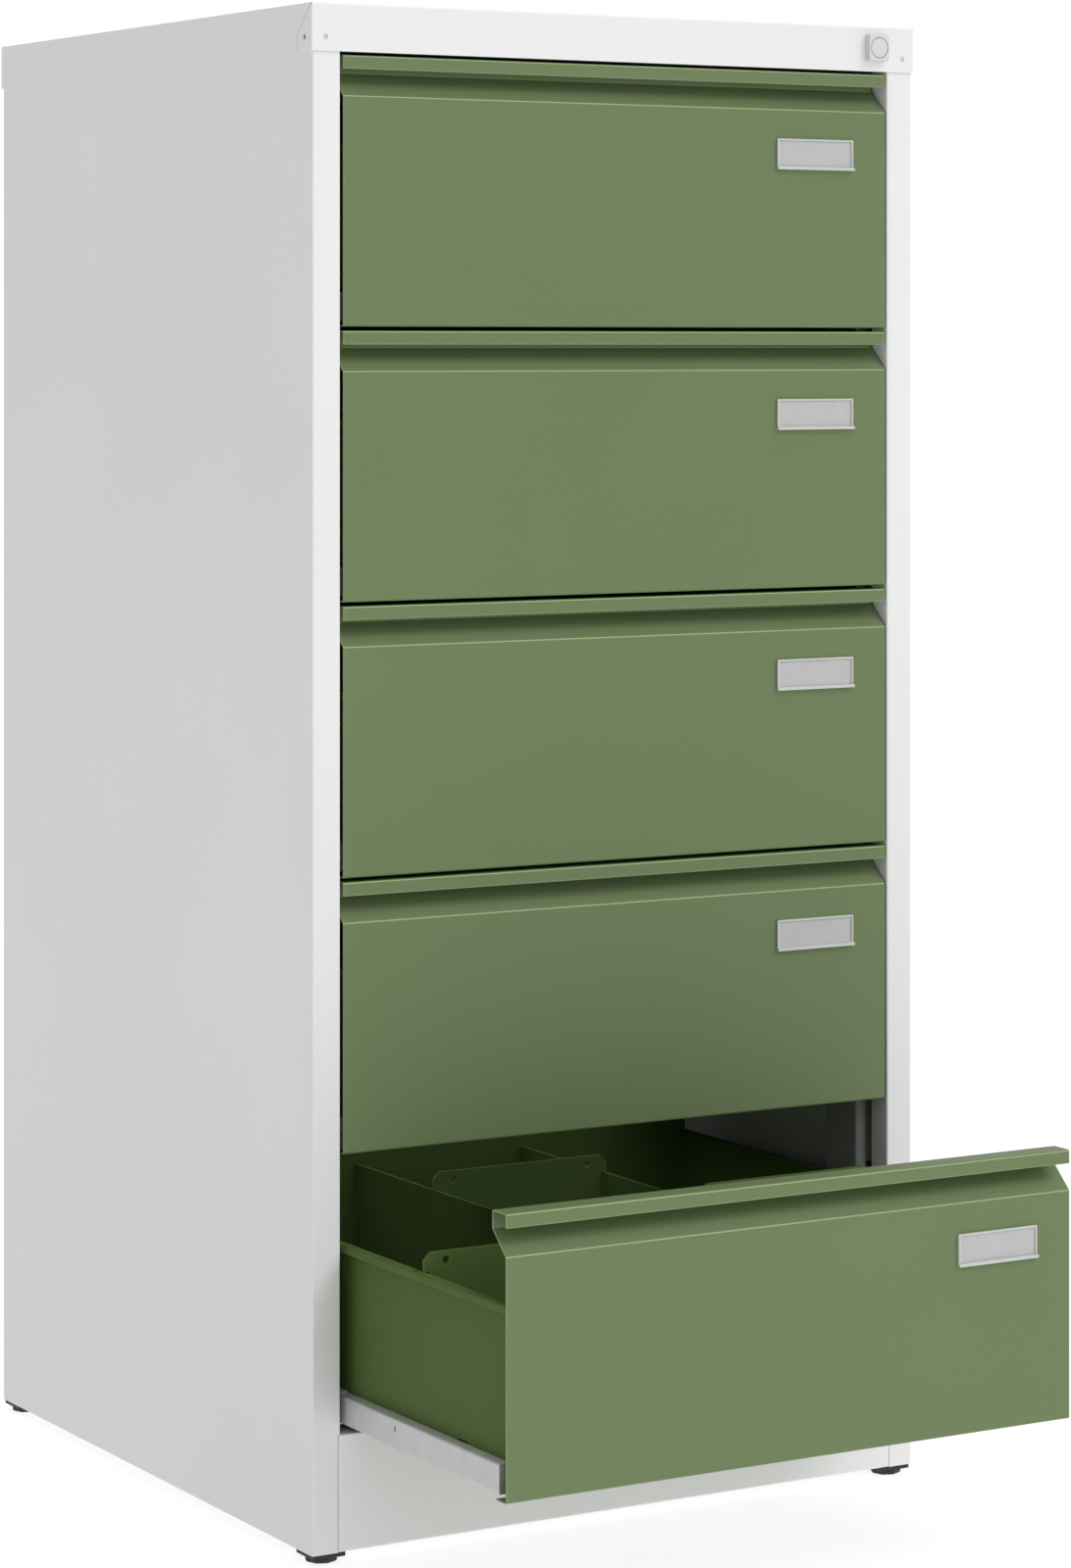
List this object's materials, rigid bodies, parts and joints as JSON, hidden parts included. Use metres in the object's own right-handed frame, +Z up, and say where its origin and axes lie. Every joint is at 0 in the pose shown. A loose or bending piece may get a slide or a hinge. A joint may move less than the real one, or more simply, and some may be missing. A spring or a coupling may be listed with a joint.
{
  "type": "filing cabinet",
  "caption": "Floor-standing steel card filing cabinet with full-width drawers, finger recesses, label holders, sliding dividers, telescopic runners, a lock and levelling feet.",
  "frame": {"origin": "on the floor, at the bottom centre of the box that holds the cabinet with its bottom drawer standing open", "axes": "+Z up, -Y out of the drawer fronts, +X to the right seen from the front"},
  "size_m": [0.563, 0.8454, 1.2],
  "materials": {
    "white_paint": "satin white powder coat",
    "green_paint": "satin sage green powder coat",
    "grey_paint": "satin grey paint inside the body",
    "runner_zinc": "zinc-plated rolled steel",
    "label_grey": "pale grey holder with a blank card",
    "lock_plastic": "semi-gloss white moulded plastic",
    "lock_metal": "satin white lacquer on the lock's turning core",
    "black_plastic": "matt black moulded plastic"
  },
  "bodies": {
    "carcass": {"lid": "white_paint", "lid_screws": "white_paint", "left_side_panel": "white_paint", "right_side_panel": "white_paint", "back_panel": "white_paint", "base_pan": "grey_paint", "plinth": "white_paint", "head_rail": "grey_paint", "uprights": "grey_paint", "left_cabinet_runners": "runner_zinc", "right_cabinet_runners": "runner_zinc", "runner_screws": "runner_zinc", "foot_plates": "black_plastic", "lock_housing": "lock_plastic", "lock_nut": "runner_zinc", "lock_guides": "black_plastic"},
    "levelling_foot_front_left": {"levelling_foot_front_left": "black_plastic"},
    "levelling_foot_front_right": {"levelling_foot_front_right": "black_plastic"},
    "levelling_foot_rear_left": {"levelling_foot_rear_left": "black_plastic"},
    "levelling_foot_rear_right": {"levelling_foot_rear_right": "black_plastic"},
    "lock_core": {"lock_core": "lock_metal", "lock_cam": "runner_zinc"},
    "lock_bar": {"lock_bar": "runner_zinc"},
    "drawer_1": {"drawer_1_front": "green_paint", "drawer_1_tray": "green_paint", "drawer_1_partitions": "green_paint", "drawer_1_label_holder": "label_grey", "drawer_1_runners": "runner_zinc", "drawer_1_dividers": "green_paint"},
    "drawer_1_middle_runners": {"drawer_1_middle_runners": "runner_zinc"},
    "drawer_2": {"drawer_2_front": "green_paint", "drawer_2_tray": "green_paint", "drawer_2_partitions": "green_paint", "drawer_2_label_holder": "label_grey", "drawer_2_runners": "runner_zinc", "drawer_2_dividers": "green_paint"},
    "drawer_2_middle_runners": {"drawer_2_middle_runners": "runner_zinc"},
    "drawer_3": {"drawer_3_front": "green_paint", "drawer_3_tray": "green_paint", "drawer_3_partitions": "green_paint", "drawer_3_label_holder": "label_grey", "drawer_3_runners": "runner_zinc", "drawer_3_dividers": "green_paint"},
    "drawer_3_middle_runners": {"drawer_3_middle_runners": "runner_zinc"},
    "drawer_4": {"drawer_4_front": "green_paint", "drawer_4_tray": "green_paint", "drawer_4_partitions": "green_paint", "drawer_4_label_holder": "label_grey", "drawer_4_runners": "runner_zinc", "drawer_4_dividers": "green_paint"},
    "drawer_4_middle_runners": {"drawer_4_middle_runners": "runner_zinc"},
    "drawer_5": {"drawer_5_front": "green_paint", "drawer_5_tray": "green_paint", "drawer_5_partitions": "green_paint", "drawer_5_label_holder": "label_grey", "drawer_5_runners": "runner_zinc"},
    "drawer_5_middle_runners": {"drawer_5_middle_runners": "runner_zinc"},
    "divider_left": {"drawer_5_divider_left": "green_paint"},
    "divider_middle": {"drawer_5_divider_middle": "green_paint"},
    "divider_right": {"drawer_5_divider_right": "green_paint"}
  },
  "joints": [
    {"name": "drawer_1_slide", "type": "slide", "parent": "carcass", "child": "drawer_1", "axis": [0, -1, 0], "range_m": [0, 0.48]},
    {"name": "drawer_1_middle_slide", "type": "slide", "parent": "carcass", "child": "drawer_1_middle_runners", "axis": [0, -1, 0], "range_m": [0, 0.24]},
    {"name": "drawer_2_slide", "type": "slide", "parent": "carcass", "child": "drawer_2", "axis": [0, -1, 0], "range_m": [0, 0.48]},
    {"name": "drawer_2_middle_slide", "type": "slide", "parent": "carcass", "child": "drawer_2_middle_runners", "axis": [0, -1, 0], "range_m": [0, 0.24]},
    {"name": "drawer_3_slide", "type": "slide", "parent": "carcass", "child": "drawer_3", "axis": [0, -1, 0], "range_m": [0, 0.48]},
    {"name": "drawer_3_middle_slide", "type": "slide", "parent": "carcass", "child": "drawer_3_middle_runners", "axis": [0, -1, 0], "range_m": [0, 0.24]},
    {"name": "drawer_4_slide", "type": "slide", "parent": "carcass", "child": "drawer_4", "axis": [0, -1, 0], "range_m": [0, 0.48]},
    {"name": "drawer_4_middle_slide", "type": "slide", "parent": "carcass", "child": "drawer_4_middle_runners", "axis": [0, -1, 0], "range_m": [0, 0.24]},
    {"name": "drawer_5_slide", "type": "slide", "parent": "carcass", "child": "drawer_5", "axis": [0, -1, 0], "range_m": [-0.2509, 0.2291]},
    {"name": "drawer_5_middle_slide", "type": "slide", "parent": "carcass", "child": "drawer_5_middle_runners", "axis": [0, -1, 0], "range_m": [-0.12545, 0.11455]},
    {"name": "divider_left_slide", "type": "slide", "parent": "drawer_5", "child": "divider_left", "axis": [0, 1, 0], "range_m": [-0.113, 0.268]},
    {"name": "divider_middle_slide", "type": "slide", "parent": "drawer_5", "child": "divider_middle", "axis": [0, 1, 0], "range_m": [-0.145, 0.115]},
    {"name": "divider_right_slide", "type": "slide", "parent": "drawer_5", "child": "divider_right", "axis": [0, 1, 0], "range_m": [-0.236, 0.145]},
    {"name": "lock_bar_slide", "type": "slide", "parent": "carcass", "child": "lock_bar", "axis": [0, 0, -1], "range_m": [0, 0.012]},
    {"name": "lock_turn", "type": "hinge", "parent": "carcass", "child": "lock_core", "pos_m": [0.2432, -0.14608, 1.1823], "axis": [0, 1, 0], "range_deg": [0, 90]},
    {"name": "levelling_foot_front_left_turn", "type": "hinge", "parent": "carcass", "child": "levelling_foot_front_left", "pos_m": [-0.2645, -0.15327, 0], "axis": [0, 0, 1], "continuous": true},
    {"name": "levelling_foot_front_right_turn", "type": "hinge", "parent": "carcass", "child": "levelling_foot_front_right", "pos_m": [0.2645, -0.15327, 0], "axis": [0, 0, 1], "continuous": true},
    {"name": "levelling_foot_rear_left_turn", "type": "hinge", "parent": "carcass", "child": "levelling_foot_rear_left", "pos_m": [-0.2645, 0.40573, 0], "axis": [0, 0, 1], "continuous": true},
    {"name": "levelling_foot_rear_right_turn", "type": "hinge", "parent": "carcass", "child": "levelling_foot_rear_right", "pos_m": [0.2645, 0.40573, 0], "axis": [0, 0, 1], "continuous": true}
  ],
  "couplings": [
    {"joint": "drawer_1_middle_slide", "follows": "drawer_1_slide", "ratio": 0.5},
    {"joint": "drawer_2_middle_slide", "follows": "drawer_2_slide", "ratio": 0.5},
    {"joint": "drawer_3_middle_slide", "follows": "drawer_3_slide", "ratio": 0.5},
    {"joint": "drawer_4_middle_slide", "follows": "drawer_4_slide", "ratio": 0.5},
    {"joint": "drawer_5_middle_slide", "follows": "drawer_5_slide", "ratio": 0.5},
    {"joint": "lock_turn", "follows": "lock_bar_slide", "rad_per_m": 130.9}
  ]
}
